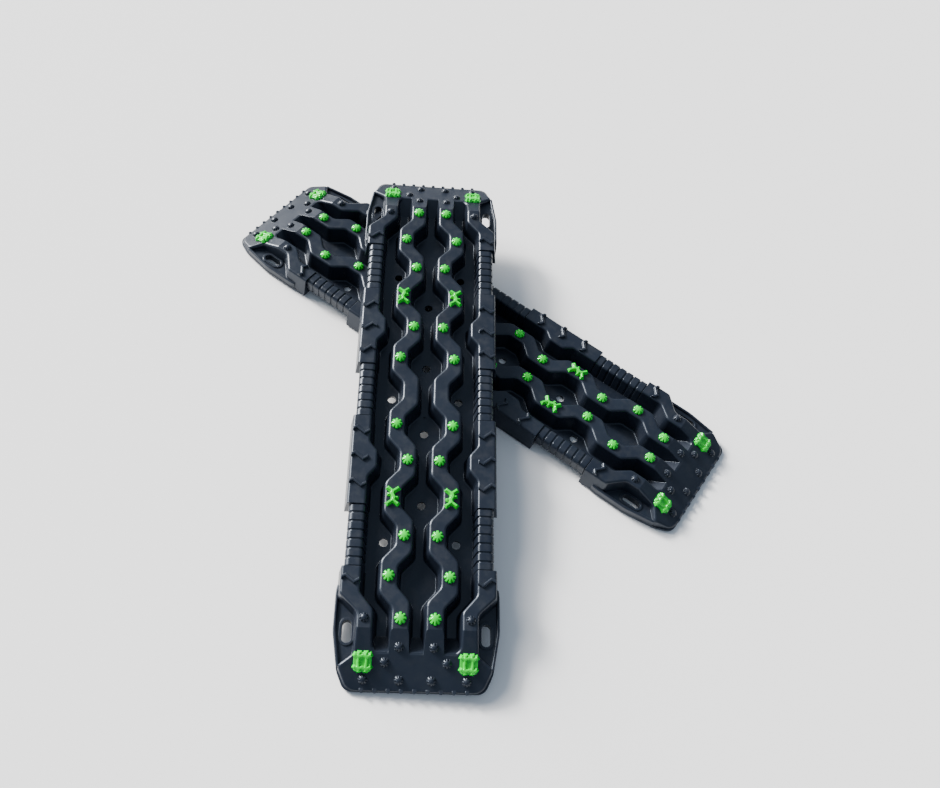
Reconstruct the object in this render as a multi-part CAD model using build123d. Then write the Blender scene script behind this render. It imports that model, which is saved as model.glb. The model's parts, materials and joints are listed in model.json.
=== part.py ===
from build123d import *
import math
import os

# A pair of tyre traction mats, one flat on the ground and one leaning across it. Millimetres.

# ---------------------------------------------------------------- driving dimensions
PITCH = 80.0            # spacing of the studs and of the wave of the two ribs, along the mat
RIB_TOP = 52.0          # height of the rib tops above the ground
FLOOR_TOP = 8.0         # upper face of the floor between the ribs
FLOOR_BOTTOM = 3.5      # lower face of the floor, held off the ground by the tread bars
WALL = 4.5              # moulded wall thickness
DRAFT = 8.0             # draft of the moulded walls, degrees
HALF_LENGTH = 7.54 * PITCH
HALF_WIDTH = 1.90 * PITCH
RIB_IN = 0.40 * PITCH   # rib centreline at its inner swings
RIB_OUT = 0.72 * PITCH  # rib centreline at its outer swings
RIB_WIDTH = 33.0
RIB_CORNER_R = 18.0     # rounding of the ribs' bends seen from above
EDGE_R = 5.5            # rounding of the upper edges
RAIL_IN = 1.37 * PITCH
RAIL_OUT = 1.83 * PITCH
BULGE_IN = 1.16 * PITCH
SHOULDER_IN = 1.03 * PITCH
SHOULDER_OUT = 1.40 * PITCH
PLATFORM_X = 6.72 * PITCH
END_HALF_WIDTH = 1.95 * PITCH
GRIP_OUT = 1.78 * PITCH
GRIP_HALF = 0.79 * PITCH
GRIP_TOP = RIB_TOP - 2.0
FOOT_R = 4.0            # concave rounding where the walls meet the floor
FINGER_GAP = 19.0       # clear height under the outer edge of a grip
RING_PITCH = 0.227 * PITCH
RIDGE_H = 5.0           # height of the zigzag ridges on the rail blocks
RIDGE_W = 5.5
RIDGE_ZIG = 6.5         # how far a ridge swings to each side
RIDGE_BACK = 1.5        # a ridge stops this far inside the rail's top edges
RIDGE_CHAMFER = 1.2
RAMP_START = 6.23 * PITCH
RAMP_SLOPE = 0.40
SHELF_TOP = 18.0
SHELF_END = 7.02 * PITCH    # the end shelf runs into the platform here
SLOT_X = 6.23 * PITCH
SLOT_Y = 1.62 * PITCH
SLOT_W = 18.0
SLOT_L = 42.0
DRAIN_D = 17.5
STUD_D = 23.0
STUD_H = 8.0
CLEAT_DRAFT = 22.0      # spread of the cleat bars' flanks, degrees
SPIGOT_D = 11.0
SPIGOT_GAP = 0.15       # radial clearance of a spigot in its hole
SCREW_D = 3.5
SCREW_GAP = 0.1
FLANGE_D = 15.0
FLANGE_H = 2.4
LEAN_HEADING = -54.8    # direction of the upper mat's length, degrees from the lower mat's
LEAN_X = 25.5
LEAN_Y = -231.3
REST_GAP = 0.3

os.makedirs("parts", exist_ok=True)
P = PITCH
T = math.tan(math.radians(DRAFT))
RAMP_ANGLE = math.degrees(math.atan(RAMP_SLOPE))
BIG = 10.0 * PITCH


def ramp_z(x):
    return RIB_TOP - RAMP_SLOPE * max(0.0, x - RAMP_START)


def offset_path(points, d):
    """The polyline moved sideways by d with mitred corners."""
    out = []
    for i, p in enumerate(points):
        a = Vector(*p) - Vector(*points[i - 1]) if i else Vector(*points[1]) - Vector(*p)
        b = Vector(*points[i + 1]) - Vector(*p) if i < len(points) - 1 else a
        a, b = a.normalized(), b.normalized()
        na, nb = Vector(-a.Y, a.X), Vector(-b.Y, b.X)
        m = (na + nb).normalized()
        out.append((p[0] + m.X * d / m.dot(na), p[1] + m.Y * d / m.dot(na)))
    return out


def ribbon(points, width):
    """The outline of a bar of the given width along a polyline, anticlockwise."""
    return offset_path(points, -width / 2) + offset_path(points, width / 2)[::-1]


def box_between(x0, x1, y0, y1, z0, z1):
    return Pos((x0 + x1) / 2, (y0 + y1) / 2, (z0 + z1) / 2) * Box(x1 - x0, y1 - y0, z1 - z0)


def rounded(corners, inset=0.0):
    """A face from (x, y, radius) corners, drawn inwards by inset; the corners run anticlockwise."""
    points = []
    for i, (x, y, r) in enumerate(corners):
        x0, y0, _ = corners[i - 1]
        x1, y1, _ = corners[(i + 1) % len(corners)]
        a, b = Vector(x - x0, y - y0).normalized(), Vector(x1 - x, y1 - y).normalized()
        na, nb = Vector(-a.Y, a.X), Vector(-b.Y, b.X)
        m = (na + nb).normalized()
        turn = a.X * b.Y - a.Y * b.X
        points.append((x + m.X * inset / m.dot(na), y + m.Y * inset / m.dot(na),
                       (r - inset if turn > 0 else r + inset) if r else 0.0))
    face = make_face(Polyline(*[(x, y) for x, y, _ in points], close=True))
    for x, y, r in points:
        if r > 0.5:
            face = fillet([v for v in face.vertices() if abs(v.X - x) + abs(v.Y - y) < 0.01], r)
    return face


def drafted(corners, inset, z_top, z_bottom):
    """A block with drafted walls whose top, at z_top, is the outline drawn in by inset."""
    height = z_top - z_bottom
    foot = rounded(corners, inset - height * T)
    return Pos(0, 0, z_bottom) * extrude(foot, amount=height, taper=DRAFT)


def above_ramp(drop=0.0):
    """Everything above the sloping end face, lowered by drop."""
    start = Pos(RAMP_START, 0, RIB_TOP - drop) * Rot(0, RAMP_ANGLE, 0)
    return start * Pos(BIG / 2, 0, BIG / 2) * Box(BIG, BIG, BIG)


# ---------------------------------------------------------------- one quarter of the shell
# x runs along the mat to the end, y out to the side. The quarter is built a little past both
# centre planes, trimmed to them, then mirrored twice.
rib_path = [(-1.3 * P, RIB_OUT)]
for k in range(-1, 7):
    y = RIB_IN if k % 2 == 0 else RIB_OUT
    rib_path += [((k - 0.32) * P, y), ((k + 0.32) * P, y)]
rib_path = rib_path[1:-1] + [(7.0 * P, RIB_IN)]


def rib_body(inset, z_bottom):
    corners = [(x, y, RIB_CORNER_R if -P < x < 6.9 * P else 0.0)
               for x, y in ribbon(rib_path, RIB_WIDTH)]
    top = Pos(0, 0, RIB_TOP - inset) * rounded(corners, inset)
    return extrude(top, amount=z_bottom - RIB_TOP + inset, taper=-DRAFT)


# Rail, inner bulge, shoulder and end platform seen from above.
LIP_IN = 7.0            # the drafted end wall stands this far back at rib height
rail_corners = [
    (-0.5 * P, RAIL_IN, 0), (1.52 * P, RAIL_IN, 15), (1.78 * P, BULGE_IN, 10), (2.22 * P, BULGE_IN, 10),
    (2.48 * P, RAIL_IN, 15), (5.40 * P, RAIL_IN, 16), (5.80 * P, SHOULDER_IN, 16),
    (PLATFORM_X, SHOULDER_IN, 15), (PLATFORM_X, -0.5 * P, 0), (HALF_LENGTH - LIP_IN, -0.5 * P, 0),
    (HALF_LENGTH - LIP_IN, 1.50 * P, 20), (SHELF_END, 1.72 * P, 5), (6.77 * P, SHOULDER_OUT, 14),
    (5.86 * P, SHOULDER_OUT, 18), (5.45 * P, RAIL_OUT, 8), (-0.5 * P, RAIL_OUT, 0),
]
outline_corners = [
    (-0.5 * P, -0.5 * P, 0), (HALF_LENGTH, -0.5 * P, 0), (HALF_LENGTH, 1.60 * P, 22),
    (7.10 * P, 1.80 * P, 50), (6.20 * P, END_HALF_WIDTH, 80), (5.30 * P, END_HALF_WIDTH, 80),
    (5.00 * P, HALF_WIDTH, 80), (-0.5 * P, HALF_WIDTH, 0),
]
floor = Pos(0, 0, FLOOR_BOTTOM) * extrude(rounded(outline_corners), amount=FLOOR_TOP - FLOOR_BOTTOM)


def rail_body(inset, z_bottom):
    return drafted(rail_corners, inset, RIB_TOP - inset, z_bottom)


# Raised end shelf outside the shoulder, with an upstanding outer rim.
RIM_W = 6.0
RIM_H = 6.0
RIM_R = 2.4
shelf_zone = make_face(Polyline(
    (5.16 * P, 2.2 * P), (5.16 * P, 1.60 * P), (5.36 * P, 1.57 * P), (5.68 * P, 1.23 * P),
    (SHELF_END, 1.23 * P), (SHELF_END, 2.2 * P), close=True))
shelf_plan = rounded(outline_corners, 0.8) & shelf_zone
shelf = Pos(0, 0, FLOOR_BOTTOM) * extrude(shelf_plan, amount=SHELF_TOP - FLOOR_BOTTOM)
rim_plan = (rounded(outline_corners, 0.8) - rounded(outline_corners, 0.8 + RIM_W)) & shelf_zone
rim = Pos(0, 0, FLOOR_BOTTOM) * extrude(rim_plan, amount=SHELF_TOP + RIM_H - FLOOR_BOTTOM)
rim_tops = [e for e in rim.edges()
            if abs(e.position_at(0).Z - SHELF_TOP - RIM_H) < 0.01
            and abs(e.position_at(1).Z - SHELF_TOP - RIM_H) < 0.01 and e.length > RIM_W + 3]
rim = fillet(rim_tops, RIM_R)


def top_edges(body, x_max):
    """The edges round the flat tops and the sloping tops."""
    kept = []
    for e in body.edges():
        ends = [e.position_at(t) for t in (0.0, 0.5, 1.0)]
        if any(abs(q.Z - ramp_z(q.X)) > 0.05 for q in ends):
            continue
        if max(abs(q.X - RAMP_START) for q in ends) < 0.1:
            continue
        if min(q.X for q in ends) < -0.3 * P or max(q.X for q in ends) > x_max:
            continue
        if max(q.Y for q in ends) < -0.3 * P:
            continue
        kept.append(e)
    return kept


ribs = rib_body(0.0, FLOOR_BOTTOM) - above_ramp()
ribs = fillet(top_edges(ribs, 6.99 * P), EDGE_R)
rails = rail_body(0.0, FLOOR_BOTTOM) - above_ramp()
rails = fillet(top_edges(rails, HALF_LENGTH), EDGE_R)
# The pools between the ribs end in a bank that climbs to the platform.
bank = extrude(
    Plane.XZ.offset(0.5 * P) * make_face(Polyline(
        (6.28 * P, FLOOR_BOTTOM), (6.28 * P, FLOOR_TOP), (6.72 * P, ramp_z(6.72 * P) - 1.0),
        (7.0 * P, ramp_z(7.0 * P) - 1.0), (7.0 * P, FLOOR_BOTTOM), close=True)),
    amount=-(0.5 * P + 1.2 * P))
high = ribs + rails + bank
# The walls run into the floor through a concave fillet.
upper_skin = high + floor
feet = [e for e in upper_skin.edges()
        if max(abs(e.position_at(t).Z - FLOOR_TOP) for t in (0.0, 0.5, 1.0)) < 0.01
        and e.center().Y < RAIL_IN and -0.35 * P < e.center().X < 6.35 * P
        and min(e.position_at(0).Y, e.position_at(1).Y) > -0.35 * P
        and min(e.position_at(0).X, e.position_at(1).X) > -0.45 * P]
upper_skin = fillet(feet, FOOT_R)
# Tread bars under the floor carry the mat on the ground; the toe bar runs under the end lip.
bars = [box_between(-15, 15, -0.5 * P, 1.7 * P, 0, FLOOR_TOP - 1)]
for i in range(1, 12):
    bars.append(box_between(i * P / 2 - 3, i * P / 2 + 3, -0.5 * P, 1.7 * P, 0, FLOOR_TOP - 1))
toe_plan = rounded(outline_corners, 2.0) - rounded(outline_corners, 2.0 + 9.0)
toe = extrude(toe_plan, amount=FLOOR_TOP) & box_between(7.0 * P, BIG, -P, BIG, 0, FLOOR_TOP)
solid = upper_skin + shelf + rim + bars + toe
print("solid quarter", solid.is_valid, len(solid.solids()))

# Underside hollows, one wall thickness inside the outer faces.
ramp_drop = WALL / math.cos(math.radians(RAMP_ANGLE))
slot_place = Pos(SLOT_X, SLOT_Y, 0)
tube = slot_place * Pos(0, 0, FLOOR_BOTTOM) * extrude(
    SlotOverall(SLOT_L + 10, SLOT_W + 10), amount=SHELF_TOP + 2.5 - FLOOR_BOTTOM)
rib_hollow = rib_body(WALL, -1.0) - above_ramp(ramp_drop)
rail_hollow = rail_body(WALL, -1.0) - above_ramp(ramp_drop)
bank_hollow = extrude(
    Plane.XZ.offset(0.5 * P) * make_face(Polyline(
        (6.28 * P + 9, -1), (6.28 * P + 9, FLOOR_BOTTOM), (6.72 * P + 3, ramp_z(6.72 * P) - 8.0),
        (6.98 * P, ramp_z(6.98 * P) - 8.0), (6.98 * P, -1), close=True)),
    amount=-(0.5 * P + 1.2 * P))
shelf_hollow = Pos(0, 0, -1.0) * extrude(
    rounded(outline_corners, 0.8 + WALL) & make_face(Polyline(
        (5.22 * P, 2.2 * P), (5.22 * P, 1.66 * P), (5.40 * P, 1.62 * P), (5.72 * P, 1.29 * P),
        (SHELF_END - WALL, 1.29 * P), (SHELF_END - WALL, 2.2 * P), close=True)),
    amount=SHELF_TOP - WALL + 1.0)
hollow = rib_hollow + rail_hollow + bank_hollow + (shelf_hollow - tube) - toe
shell = solid - hollow

# Cross webs inside the hollow ribs, the rails and the end platform.
webs = []
for i in range(0, 7):
    webs.append(box_between((i + 0.5) * P - 1.5, (i + 0.5) * P + 1.5, -2, 1.2 * P, FLOOR_TOP, RIB_TOP))
for x in (GRIP_HALF + 2, 4 * P - GRIP_HALF - 2, 4 * P + GRIP_HALF + 2):
    webs.append(box_between(x - 2, x + 2, 1.22 * P, 2 * P, FLOOR_BOTTOM, RIB_TOP))
for x in (2.3 * P, 5.35 * P, 5.9 * P, 6.5 * P):
    webs.append(box_between(x - 1.5, x + 1.5, 1.05 * P, 2 * P, FLOOR_TOP, RIB_TOP))
for y in (0.2 * P, 0.9 * P):
    webs.append(box_between(6.45 * P, HALF_LENGTH - WALL, y - 1.5, y + 1.5, FLOOR_TOP, RIB_TOP))
webs.append(box_between(7.05 * P - 1.5, 7.05 * P + 1.5, -2, 0.92 * P, FLOOR_TOP, RIB_TOP))
for web in webs:
    shell += web & solid

# Grips: a hollow rounded bar with seven lobes, open underneath for the fingers.


def grip_profile(d):
    foot = RAIL_IN - T * (GRIP_TOP - FLOOR_TOP)
    face = make_face(Polyline(
        (1.24 * P, FLOOR_BOTTOM), (1.24 * P, FLOOR_TOP), (foot + d, FLOOR_TOP),
        (RAIL_IN + d, GRIP_TOP - d), (GRIP_OUT - d, GRIP_TOP - d), (GRIP_OUT - d, FINGER_GAP + d),
        (GRIP_OUT - WALL - 2, FINGER_GAP + d), (GRIP_OUT - WALL - 2, GRIP_TOP - WALL - 2),
        (RAIL_IN + WALL + 2, GRIP_TOP - WALL - 2), (foot + WALL + 2, FLOOR_BOTTOM), close=True))
    corners = face.vertices()
    high_out = [v for v in corners if v.Y > GRIP_TOP - d - 0.1 and v.X > RAIL_IN + 10]
    high_in = [v for v in corners if v.Y > GRIP_TOP - d - 0.1 and v.X < RAIL_IN + 10]
    low = [v for v in corners if abs(v.Y - FINGER_GAP - d) < 0.1]
    inner = [v for v in corners if abs(v.Y - (GRIP_TOP - WALL - 2)) < 0.1]
    face = fillet(high_out, 10.0)
    face = fillet([v for v in face.vertices() if abs(v.X - high_in[0].X) < 0.1
                   and abs(v.Y - high_in[0].Y) < 0.1], 7.0)
    face = fillet([v for v in face.vertices()
                   if any(abs(v.X - q.X) + abs(v.Y - q.Y) < 0.1 for q in low)], 2.0)
    face = fillet([v for v in face.vertices()
                   if any(abs(v.X - q.X) + abs(v.Y - q.Y) < 0.1 for q in inner)], 4.5)
    return face


def along_x(face, x0, x1):
    return Pos(x0, 0, 0) * Rot(0, 0, 90) * Rot(90, 0, 0) * extrude(face, amount=x1 - x0)


LOBE_R = 1.4
lobe_half = 0.40 * RING_PITCH
lobe = along_x(grip_profile(0.0), -lobe_half, lobe_half)
lobe_rims = [e for e in lobe.edges() if abs(abs(e.center().X) - lobe_half) < 0.01
             and abs(e.position_at(0).X - e.position_at(1).X) < 0.01
             and e.center().Z > FLOOR_TOP + 1
             and (e.center().Y > GRIP_OUT - 3 or e.center().Z > GRIP_TOP - 3.2)]
lobe = fillet(lobe_rims, LOBE_R)
for centre in (0.0, 4.0 * P):
    x0, x1 = centre - GRIP_HALF, centre + GRIP_HALF
    shell -= box_between(x0, x1, 1.25 * P, 2.2 * P, -2, RIB_TOP + 10)
    grip = along_x(grip_profile(1.8), x0 - 0.5, x1 + 0.5)
    for n in range(-3, 4):
        grip += Pos(centre + n * RING_PITCH, 0, 0) * lobe
    shell += grip
print("grips", shell.is_valid, len(shell.solids()))

# Zigzag ridges across the rail blocks, nubs on the end lip, tube and rim of the lashing slot.
for x in (1.22 * P, 1.95 * P, 2.67 * P, 5.10 * P):
    path = [(x, 1.86 * P), (x - RIDGE_ZIG, 1.71 * P), (x + RIDGE_ZIG, 1.51 * P), (x, 1.38 * P)]
    outline = [(u, v, 0) for u, v in ribbon(path, RIDGE_W)]
    ridge = drafted(outline, 0.0, RIB_TOP + RIDGE_H, RIB_TOP - 1.0)
    ridge = chamfer(ridge.faces().sort_by(Axis.Z)[-1].edges(), RIDGE_CHAMFER)
    shell += ridge & box_between(x - P / 2, x + P / 2, RAIL_IN + RIDGE_BACK, RAIL_OUT - RIDGE_BACK,
                                 RIB_TOP - 1, RIB_TOP + RIDGE_H)
for n in range(0, 5):
    shell += Pos(HALF_LENGTH - 2.6, n * 0.3 * P, FLOOR_BOTTOM) * Cylinder(
        4.0, 9.0, align=(Align.CENTER, Align.CENTER, Align.MIN))
shell += tube & box_between(0, BIG, 0, BIG, FLOOR_BOTTOM, SHELF_TOP + 2.0)
shell -= slot_place * Pos(0, 0, -5) * extrude(SlotOverall(SLOT_L, SLOT_W), amount=60)


def spider(diameter, height, rim, arm):
    """A domed star of eight roof-shaped arms; rim is the height of the arms' outer ends."""
    r = diameter / 2
    dome_line = ThreePointArc((0, height), (0.55 * r, height - 0.28 * (height - rim)), (r, rim))
    profile = make_face(dome_line + Polyline((r, rim), (r, -1.0), (0, -1.0), (0, height)))
    dome = revolve(Plane.XZ * profile, Axis.Z)
    star_shape = Pos(0, 0, -1.0) * Cone(0.74 * r, 0.46 * r, height + 2.0,
                                        align=(Align.CENTER, Align.CENTER, Align.MIN))
    for n in range(4):
        star_shape += Rot(0, 0, 45 * n) * Pos(0, 0, -1.0) * extrude(
            Rectangle(diameter + 2.0, arm), amount=height + 2.0, taper=12)
    return star_shape & dome


def on_ramp(x, y):
    return Pos(x, y, ramp_z(x)) * Rot(0, RAMP_ANGLE, 0)


# Moulded star studs on the ramp and the shoulders.
star = spider(17.5, 6.5, 1.5, 5.0)
for x, y in ((6.61, 0.40), (6.93, 0.71), (7.29, 0.37), (7.29, 1.18)):
    shell += on_ramp(x * P, y * P) * star
shell += Pos(6.0 * P, 1.23 * P, RIB_TOP) * star
print("stars", shell.is_valid, len(shell.solids()))

# Holes for the spigots of the studs and cleats.
stud_places = []
for k in (1, 2, 4, 5, 6):
    stud_places.append(Pos(k * P, RIB_OUT if k % 2 else RIB_IN, RIB_TOP))
cross_place = Pos(3 * P, RIB_OUT, RIB_TOP)
corner_place = on_ramp(6.93 * P, 1.205 * P)
CROSS_SCREW = 10.0
CORNER_SCREW = 9.0
hole = Cylinder(SPIGOT_D / 2 + SPIGOT_GAP, 3 * WALL)
for place in stud_places:
    shell -= place * hole
for d in (-1, 1):
    shell -= cross_place * Pos(d * CROSS_SCREW, 0, 0) * hole
    shell -= corner_place * Pos(0, d * CORNER_SCREW, 0) * hole

# ---------------------------------------------------------------- whole shell
shell &= box_between(0, BIG, 0, BIG, -1, BIG)
shell = shell + mirror(shell, Plane.YZ)
shell = shell + mirror(shell, Plane.XZ)
drain = Pos(0, 0, 5) * Cylinder(DRAIN_D / 2, 14)
for x, y in ((1, 0), (3, 0), (0, 0.89), (4, 0.89)):
    for sx in ((-1, 1) if x else (1,)):
        for sy in ((-1, 1) if y else (1,)):
            shell -= Pos(sx * x * P, sy * y * P, 0) * drain
shell -= Pos(0.5 * P, 0, FLOOR_TOP) * Sphere(2.5)
print("shell", shell.is_valid, len(shell.solids()), len(shell.faces()), round(shell.volume))


# ---------------------------------------------------------------- green inserts
def spigot():
    """Spigot through the top wall, held 0.2 mm clear of the screw flange, with a pilot bore."""
    return Pos(0, 0, -(WALL - 0.2)) * Cylinder(
        SPIGOT_D / 2, WALL - 0.2 + 0.5, align=(Align.CENTER, Align.CENTER, Align.MIN))


bore = Pos(0, 0, -WALL) * Cylinder(
    SCREW_D / 2 + SCREW_GAP, WALL + 4.0, align=(Align.CENTER, Align.CENTER, Align.MIN))
screw = (
    Pos(0, 0, -WALL) * Cylinder(SCREW_D / 2, WALL + 3.5, align=(Align.CENTER, Align.CENTER, Align.MIN))
    + Pos(0, 0, -WALL - FLANGE_H) * Cylinder(
        FLANGE_D / 2, FLANGE_H, align=(Align.CENTER, Align.CENTER, Align.MIN))
    + Pos(0, 0, -WALL - FLANGE_H - 3.0) * extrude(RegularPolygon(4.5, 6), amount=3.0)
)

head = spider(STUD_D, STUD_H, 3.8, 6.6) & Cylinder(
    STUD_D, BIG, align=(Align.CENTER, Align.CENTER, Align.MIN))
stud = head + spigot() - bore


def bar(points, width, height):
    """A bar along a polyline, flat on top, with flanks that spread down to its foot."""
    top = Pos(0, 0, height) * make_face(Polyline(*ribbon(points, width), close=True))
    return extrude(top, amount=-height, taper=-CLEAT_DRAFT)


# Cross cleat: a zigzag spine with four splayed arms and two side stubs.
cross = bar([(-11, 0), (-4, 2.0), (4, -2.0), (11, 0)], 5.0, STUD_H)
for sx in (-1, 1):
    for sy in (-1, 1):
        cross += bar([(sx * 9.5, sy * 0.5), (sx * 17, sy * 10.5)], 3.6, STUD_H - 0.4)
    cross += bar([(sx * 2.5, 0), (sx * 3.5, -sx * 9.5)], 2.4, STUD_H - 1.6)
for d in (-1, 1):
    cross = cross + Pos(d * CROSS_SCREW, 0, 0) * spigot() - Pos(d * CROSS_SCREW, 0, 0) * bore

# Corner cleat: two zigzag bars across the mat and two along it, on a thick plate.
corner = extrude(RectangleRounded(34, 33, 6), amount=4.5)
for side in (-1, 1):
    u = side * 10.5
    zigzag = [(u - 2.5, -15), (u + 1.5, -8), (u - 1.5, 0), (u + 1.5, 8), (u - 2.5, 15)]
    corner += bar(zigzag, 3.6, STUD_H)
    corner += bar([(-17, side * 6.0), (0, side * 7.5), (17, side * 6.0)], 3.4, STUD_H - 0.4)
for d in (-1, 1):
    corner = corner + Pos(0, d * CORNER_SCREW, 0) * spigot() - Pos(0, d * CORNER_SCREW, 0) * bore
print("inserts", stud.is_valid, cross.is_valid, corner.is_valid,
      len(stud.solids()), len(cross.solids()), len(corner.solids()))

# ---------------------------------------------------------------- one mat in its own frame
pieces = {"shell": shell}
screws = []
quadrants = {"fl": (1, 1), "fr": (1, -1), "bl": (-1, 1), "br": (-1, -1)}


def quadrant(shape, sx, sy):
    if sx < 0:
        shape = mirror(shape, Plane.YZ)
    if sy < 0:
        shape = mirror(shape, Plane.XZ)
    return shape


for tag, (sx, sy) in quadrants.items():
    for k, place in zip((1, 2, 4, 5, 6), stud_places):
        pieces[f"stud_{tag}{k}"] = quadrant(place * stud, sx, sy)
        screws.append(quadrant(place * screw, sx, sy))
    pieces[f"cross_cleat_{tag}"] = quadrant(cross_place * cross, sx, sy)
    pieces[f"corner_cleat_{tag}"] = quadrant(corner_place * corner, sx, sy)
    for d in (-1, 1):
        screws.append(quadrant(cross_place * Pos(d * CROSS_SCREW, 0, 0) * screw, sx, sy))
        screws.append(quadrant(corner_place * Pos(0, d * CORNER_SCREW, 0) * screw, sx, sy))
pieces["fixing_screws"] = Compound(children=screws)

# ---------------------------------------------------------------- the pair
# The upper mat stands with one end corner on the ground and rests on the ridges of the lower
# mat's near rail. Its underside is the plane through the two.
heading = math.radians(LEAN_HEADING)
toe_corners = [v for v in toe.vertices() if abs(v.Z) < 0.01]
ground_y = min(LEAN_Y + math.sin(heading) * v.X - math.cos(heading) * v.Y for v in toe_corners)
ground_y = min([ground_y] + [
    LEAN_Y + math.sin(heading) * e.position_at(t).X - math.cos(heading) * e.position_at(t).Y
    for e in toe.edges() for t in (0.2, 0.35, 0.5, 0.65, 0.8) if abs(e.position_at(t).Z) < 0.01])
run = -(RAIL_OUT - RIDGE_BACK) - ground_y
rise = RIB_TOP + RIDGE_H
tilt = math.atan2(rise, run) + math.asin(REST_GAP / math.hypot(rise, run))
lean = (Pos(0, ground_y, 0) * Rot(math.degrees(tilt), 0, 0) * Pos(0, -ground_y, 0)
        * Pos(LEAN_X, LEAN_Y, 0) * Rot(0, 0, LEAN_HEADING))
print("tilt", round(math.degrees(tilt), 3), "ground_y", round(ground_y, 2))

for name, shape in pieces.items():
    for mat, placed in (("lower", shape), ("upper", lean * shape)):
        export_step(placed, f"parts/{mat}_{name}.step", write_pcurves=False)
box = shell.bounding_box()
print("mat size", box.size, "upper low", (lean * shell).bounding_box().min)
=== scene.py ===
"""A pair of tyre traction mats: moulded black nylon boards with bright green screwed-in cleats."""
import json
import math

import bpy
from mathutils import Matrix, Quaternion, Vector

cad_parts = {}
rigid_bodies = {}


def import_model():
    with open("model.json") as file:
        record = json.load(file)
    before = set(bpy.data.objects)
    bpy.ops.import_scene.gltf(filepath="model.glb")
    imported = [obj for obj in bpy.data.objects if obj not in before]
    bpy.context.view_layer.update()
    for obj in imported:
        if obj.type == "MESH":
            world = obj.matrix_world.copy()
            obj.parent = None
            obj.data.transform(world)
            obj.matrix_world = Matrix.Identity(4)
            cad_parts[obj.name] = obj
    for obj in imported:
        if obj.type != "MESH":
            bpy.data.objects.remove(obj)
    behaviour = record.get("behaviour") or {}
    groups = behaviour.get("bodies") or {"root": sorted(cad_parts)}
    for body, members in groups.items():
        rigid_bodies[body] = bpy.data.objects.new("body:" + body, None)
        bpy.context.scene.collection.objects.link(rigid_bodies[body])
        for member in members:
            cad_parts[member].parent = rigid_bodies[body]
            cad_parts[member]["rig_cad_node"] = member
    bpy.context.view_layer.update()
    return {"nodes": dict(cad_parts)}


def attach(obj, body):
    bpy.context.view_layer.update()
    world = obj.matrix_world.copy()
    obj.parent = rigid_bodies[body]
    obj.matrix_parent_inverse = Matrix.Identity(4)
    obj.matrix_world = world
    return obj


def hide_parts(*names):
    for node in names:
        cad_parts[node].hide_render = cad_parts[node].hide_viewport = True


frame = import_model()
MATS = {"lower": "lower_mat", "upper": "upper_mat"}

# ---- Camera
# It stands a person's height above the near side, turned a little on its own axis,
# and looks down across the crossing of the two mats.
CAMERA_PLACE = Vector((0.51879, -1.16620, 1.66590))
CAMERA_LOOK = Vector((-0.22089, 0.51881, -0.82586))
CAMERA_ROLL = math.radians(14.58)
CAMERA_LENS = 34.41
CAMERA_SENSOR = 36.0
bpy.ops.object.select_all(action="DESELECT")
bpy.ops.object.camera_add(location=CAMERA_PLACE)
camera = bpy.context.object
camera.name = "camera"
camera.data.lens = CAMERA_LENS
camera.data.sensor_width = CAMERA_SENSOR
camera.rotation_mode = "QUATERNION"
aim = CAMERA_LOOK.to_track_quat("-Z", "Y")
camera.rotation_quaternion = aim @ Quaternion((0, 0, 1), CAMERA_ROLL)
bpy.context.scene.camera = camera

# ---- Mat shells
# Each mat is one injection moulding in black glass-filled nylon: a satin skin with a fine spark
# texture, flow clouds, dust that settles in the low pools and rubbed, paler edges.
NYLON = (0.0060, 0.0085, 0.0150)
NYLON_CLOUD = (0.0095, 0.0130, 0.0210)
DUST = (0.060, 0.058, 0.054)
RUBBED = (0.036, 0.043, 0.055)
SHELL_EDGE = 0.0013         # shading radius on the shell's edges, metres
SHELL_SHEEN = 0.42
SHELL_SHEEN_TINT = (0.76, 0.86, 1.0)


class Signal:
    """A shader socket that Python operators can add Math nodes to."""

    def __init__(self, tree, socket):
        self.tree = tree
        self.socket = socket

    def maths(self, operation, *values, clamp=False):
        node = self.tree.nodes.new("ShaderNodeMath")
        node.operation = operation
        node.use_clamp = clamp
        for slot, value in zip(node.inputs, values):
            if isinstance(value, Signal):
                self.tree.links.new(value.socket, slot)
            else:
                slot.default_value = value
        return Signal(self.tree, node.outputs[0])

    def __add__(self, other):
        return self.maths("ADD", self, other)

    def __radd__(self, other):
        return self.maths("ADD", other, self)

    def __sub__(self, other):
        return self.maths("SUBTRACT", self, other)

    def __rsub__(self, other):
        return self.maths("SUBTRACT", other, self)

    def __mul__(self, other):
        return self.maths("MULTIPLY", self, other)

    def __rmul__(self, other):
        return self.maths("MULTIPLY", other, self)

    def clamped(self):
        return self.maths("ADD", self, 0.0, clamp=True)


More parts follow.
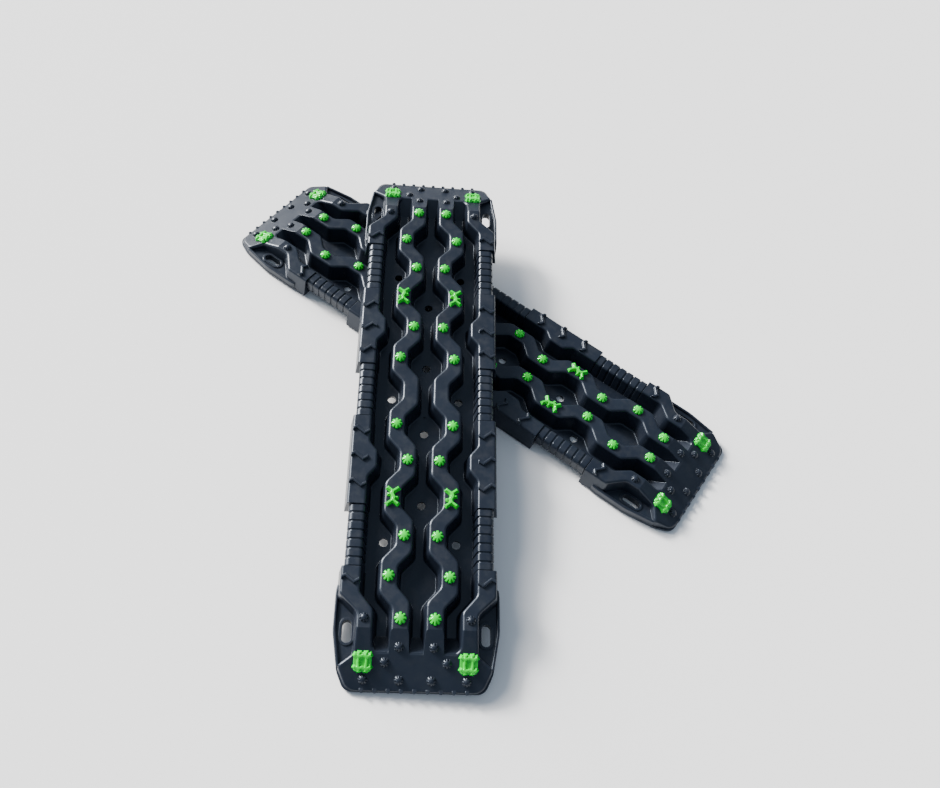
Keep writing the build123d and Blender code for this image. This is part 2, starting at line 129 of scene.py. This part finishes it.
class Paint:
    """One material and the nodes that it is made of."""

    def __init__(self, name):
        self.material = bpy.data.materials.new(name)
        self.material.use_nodes = True
        self.tree = self.material.node_tree
        self.skin = self.tree.nodes["Principled BSDF"]

    def node(self, kind, settings=None, **sockets):
        made = self.tree.nodes.new(kind)
        for key, value in (settings or {}).items():
            if key == "stops":
                ramp = made.color_ramp.elements
                ramp[0].position, ramp[0].color = value[0][0], (*[value[0][1]] * 3, 1)
                ramp[1].position, ramp[1].color = value[1][0], (*[value[1][1]] * 3, 1)
            else:
                setattr(made, key, value)
        for key, value in sockets.items():
            self.feed(made.inputs[key.replace("_", " ")], value)
        return made

    def feed(self, slot, value):
        if isinstance(value, Signal):
            self.tree.links.new(value.socket, slot)
        elif isinstance(value, bpy.types.NodeSocket):
            self.tree.links.new(value, slot)
        elif isinstance(value, tuple) and len(value) == 3 and slot.type == "RGBA":
            slot.default_value = (*value, 1.0)
        else:
            slot.default_value = value

    def signal(self, socket):
        return Signal(self.tree, socket)

    def noise(self, scale, detail=3.0, roughness=0.55):
        place = self.node("ShaderNodeTexCoord").outputs["Object"]
        made = self.node("ShaderNodeTexNoise", Vector=place, Scale=scale, Detail=detail,
                         Roughness=roughness)
        return self.signal(made.outputs["Fac"])

    def ramp(self, value, low, high):
        stops = {"stops": ((low, 0.0), (high, 1.0))}
        return self.signal(self.node("ShaderNodeValToRGB", stops, Fac=value).outputs["Color"])

    def mix(self, amount, first, second):
        made = self.node("ShaderNodeMix", {"data_type": "RGBA"})
        self.feed(made.inputs[0], amount)
        self.feed(made.inputs[6], first)
        self.feed(made.inputs[7], second)
        return made.outputs[2]

    def relief(self, height, strength, distance, normal=None):
        made = self.node("ShaderNodeBump", Height=height, Strength=strength, Distance=distance)
        if normal is not None:
            self.feed(made.inputs["Normal"], normal)
        return made.outputs["Normal"]

    def finish(self, **sockets):
        for key, value in sockets.items():
            self.feed(self.skin.inputs[key.replace("_", " ")], value)
        return self.material


def moulded_nylon(name):
    paint = Paint(name)
    rounded = paint.node("ShaderNodeBevel", {"samples": 8}, Radius=SHELL_EDGE).outputs["Normal"]
    straight = paint.node("ShaderNodeNewGeometry").outputs["Normal"]
    facing = paint.node("ShaderNodeVectorMath", {"operation": "DOT_PRODUCT"})
    paint.feed(facing.inputs[0], rounded)
    paint.feed(facing.inputs[1], straight)
    edge = paint.ramp(1.0 - paint.signal(facing.outputs["Value"]), 0.01, 0.16)
    up = paint.node("ShaderNodeSeparateXYZ", Vector=straight)
    level = paint.ramp(paint.signal(up.outputs["Z"]), 0.80, 0.98)
    cloud = paint.ramp(paint.noise(9.0, 4.0), 0.38, 0.68)
    patch = paint.ramp(paint.noise(42.0, 6.0, 0.65), 0.46, 0.72)
    speck = paint.ramp(paint.noise(520.0, 2.0), 0.60, 0.74)
    dusty = (level * patch * 0.26 + speck * level * 0.12).clamped()
    worn = (edge * paint.ramp(paint.noise(130.0, 4.0), 0.35, 0.65) * 0.75).clamped()
    colour = paint.mix(cloud, NYLON, NYLON_CLOUD)
    colour = paint.mix(dusty * 0.55, colour, DUST)
    colour = paint.mix(worn, colour, RUBBED)
    grain = paint.noise(2600.0, 2.0)
    ripple = paint.noise(60.0, 2.0)
    normal = paint.relief(ripple, 0.06, 0.0008, rounded)
    normal = paint.relief(grain, 0.20, 0.00010, normal)
    rough = 0.28 + 0.09 * paint.noise(75.0, 3.0) + 0.30 * dusty - 0.04 * worn
    return paint.finish(Base_Color=colour, Roughness=rough, Normal=normal,
                        Specular_IOR_Level=SHELL_SHEEN, Specular_Tint=SHELL_SHEEN_TINT)


nylon = moulded_nylon("moulded_black_nylon")
for mat in MATS:
    shell = frame["nodes"][mat + "_shell"]
    shell.data.materials.clear()
    shell.data.materials.append(nylon)

# ---- Green studs and cleats
# Hard green nylon inserts, screwed on from beneath so that they can be replaced. Each is moulded
# with soft edges and comes glossy from the tool; use scuffs and clouds its high parts.
GREEN = (0.000, 0.620, 0.028)
GREEN_DEEP = (0.000, 0.470, 0.018)
GREEN_SCUFF = (0.020, 0.680, 0.070)
INSERT_GRAIN = 0.00045      # size of the skin's facets before they are smoothed, metres
INSERT_EDGE = 0.0005        # shading radius on the inserts' edges, metres
KEPT_FACETS = 0.30          # share of the facets that stays
SOFTENING = 3               # rounds of smoothing
CORNER_SOFTENING = 14       # the corner cleats are rounder
WELD = 1e-6


def green_nylon(name):
    paint = Paint(name)
    rounded = paint.node("ShaderNodeBevel", {"samples": 6}, Radius=INSERT_EDGE).outputs["Normal"]
    cloud = paint.ramp(paint.noise(110.0, 3.0), 0.35, 0.70)
    scratch = paint.ramp(paint.noise(900.0, 4.0, 0.7), 0.58, 0.72)
    straight = paint.node("ShaderNodeNewGeometry").outputs["Normal"]
    up = paint.node("ShaderNodeSeparateXYZ", Vector=straight)
    tops = paint.ramp(paint.signal(up.outputs["Z"]), 0.85, 0.98)
    scuff = (scratch * tops * 0.6).clamped()
    colour = paint.mix(scuff, paint.mix(cloud, GREEN, GREEN_DEEP), GREEN_SCUFF)
    normal = paint.relief(paint.noise(420.0, 3.0), 0.15, 0.0002, rounded)
    rough = 0.13 + 0.08 * cloud + 0.25 * scuff
    return paint.finish(Base_Color=colour, Roughness=rough, Normal=normal)


def soft_edged(node, rounds):
    """A copy of an insert whose skin is rebuilt in small even facets and smoothed over its edges."""
    bpy.ops.object.select_all(action="DESELECT")
    node.select_set(True)
    bpy.context.view_layer.objects.active = node
    bpy.ops.object.duplicate()
    piece = bpy.context.object
    del piece["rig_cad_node"]
    bpy.ops.object.mode_set(mode="EDIT")
    bpy.ops.mesh.select_all(action="SELECT")
    bpy.ops.mesh.remove_doubles(threshold=WELD)
    bpy.ops.object.mode_set(mode="OBJECT")
    skin = piece.modifiers.new("skin", "REMESH")
    skin.mode = "VOXEL"
    skin.voxel_size = INSERT_GRAIN
    soft = piece.modifiers.new("soft", "SMOOTH")
    soft.factor = 0.5
    soft.iterations = rounds
    lean = piece.modifiers.new("lean", "DECIMATE")
    lean.ratio = KEPT_FACETS
    for step in ("skin", "soft", "lean"):
        bpy.ops.object.modifier_apply(modifier=step)
    bpy.ops.object.shade_smooth()
    return piece


green = green_nylon("hard_green_nylon")
for name, node in frame["nodes"].items():
    if "_stud_" in name or "_cleat_" in name:
        insert = soft_edged(node, CORNER_SOFTENING if "_corner_cleat_" in name else SOFTENING)
        insert.name = name + "_moulded"
        insert.data.materials.clear()
        insert.data.materials.append(green)
        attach(insert, MATS[name.split("_")[0]])
        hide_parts(name)

# ---- Fixing screws
# Zinc-plated flange-head screws that hold the inserts from the hollow underside.
ZINC = (0.56, 0.57, 0.60)
ZINC_DULL = (0.42, 0.42, 0.43)


def zinc_plate(name):
    paint = Paint(name)
    cloud = paint.ramp(paint.noise(260.0, 4.0), 0.35, 0.65)
    colour = paint.mix(cloud, ZINC, ZINC_DULL)
    rough = 0.30 + 0.18 * cloud
    normal = paint.relief(paint.noise(1500.0, 2.0), 0.15, 0.0001)
    return paint.finish(Base_Color=colour, Roughness=rough, Normal=normal, Metallic=1.0)


zinc = zinc_plate("zinc_plate")
for mat in MATS:
    screws = frame["nodes"][mat + "_fixing_screws"]
    screws.data.materials.clear()
    screws.data.materials.append(zinc)

# ---- Floor and light
# A plain pale floor, a broad low light from the left with a brighter core, and a cool sky that
# fills the shadows.
FLOOR_SIZE = 40.0
FLOOR_WHITE = (0.92, 0.92, 0.92)
LIGHT_FROM = Vector((-0.90, 0.05, 0.46))
LIGHT_COLOUR = (1.0, 0.97, 0.93)
LIGHTS = {"broad_light": (7.5, 42.0), "key_light": (7.5, 11.0)}     # strength, spread in degrees
SKY_COLOUR = (0.68, 0.82, 1.0, 1.0)
SKY_STRENGTH = 0.50

bpy.ops.object.select_all(action="DESELECT")
bpy.ops.mesh.primitive_plane_add(size=FLOOR_SIZE, location=(0, 0, 0))
floor = bpy.context.object
floor.name = "floor"
pale = Paint("pale_floor")
floor.data.materials.append(pale.finish(Base_Color=FLOOR_WHITE, Roughness=0.9))

for light_name, (strength, spread) in LIGHTS.items():
    bpy.ops.object.light_add(type="SUN", location=LIGHT_FROM * 5)
    light = bpy.context.object
    light.name = light_name
    light.data.energy = strength
    light.data.angle = math.radians(spread)
    light.data.color = LIGHT_COLOUR
    light.rotation_mode = "QUATERNION"
    light.rotation_quaternion = (-LIGHT_FROM).to_track_quat("-Z", "Y")

world = bpy.data.worlds.new("soft_sky")
bpy.context.scene.world = world
world.use_nodes = True
sky = world.node_tree.nodes["Background"]
sky.inputs["Color"].default_value = SKY_COLOUR
sky.inputs["Strength"].default_value = SKY_STRENGTH
